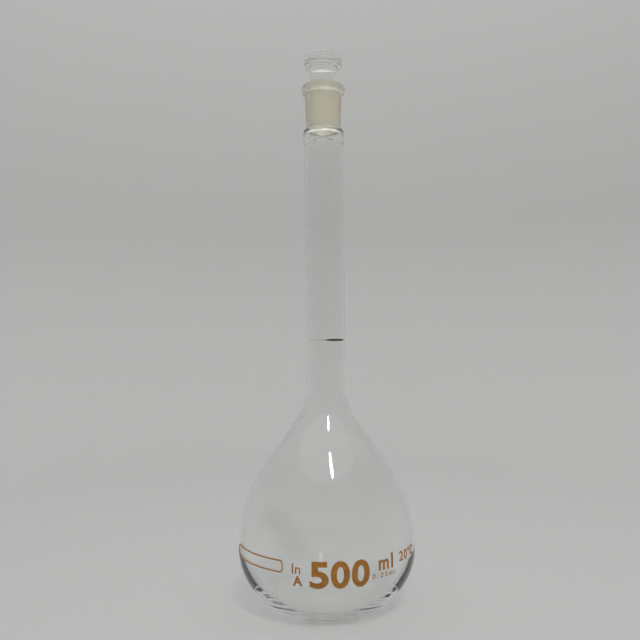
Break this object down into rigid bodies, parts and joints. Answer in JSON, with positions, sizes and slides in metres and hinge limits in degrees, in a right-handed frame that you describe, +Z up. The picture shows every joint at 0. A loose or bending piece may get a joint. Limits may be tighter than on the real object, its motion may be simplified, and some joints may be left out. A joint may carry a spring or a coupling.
{
  "type": "volumetric flask",
  "caption": "Clear glass volumetric flask: pear-shaped bulb, long narrow neck with a ring mark, and a ground conical socket closed by a solid flat-headed stopper.",
  "frame": {"origin": "centre of the foot, on the surface that the flask stands on", "axes": "+Z up along the flask's axis, towards the stopper; the capacity marking faces -Y, and +X is to its right"},
  "size_m": [0.0984, 0.0986, 0.3058],
  "materials": {
    "clear_glass": "clear polished borosilicate glass, with a ground bore in the socket",
    "stopper_glass": "clear polished glass head and shank over a finely ground plug",
    "amber_enamel": "opaque amber-brown enamel fired into the glass"
  },
  "bodies": {
    "flask": {"bulb": "clear_glass", "neck_tube": "clear_glass", "joint_socket": "clear_glass", "graduation_ring": "amber_enamel", "writing_field": "amber_enamel", "digit_5": "amber_enamel", "digit_0_first": "amber_enamel", "digit_0_second": "amber_enamel", "unit_m": "amber_enamel", "unit_l": "amber_enamel", "class_a": "amber_enamel", "contain_i": "amber_enamel", "contain_n": "amber_enamel", "tolerance_0": "amber_enamel", "tolerance_point": "amber_enamel", "tolerance_2": "amber_enamel", "tolerance_5": "amber_enamel", "tolerance_m": "amber_enamel", "tolerance_l": "amber_enamel", "temperature_2": "amber_enamel", "temperature_0": "amber_enamel", "temperature_degree": "amber_enamel", "temperature_c": "amber_enamel"},
    "stopper": {"stopper": "stopper_glass"}
  },
  "joints": [
    {"name": "stopper_lift", "type": "slide", "parent": "flask", "child": "stopper", "axis": [0, 0, 1], "range_m": [0, 0.045]}
  ]
}
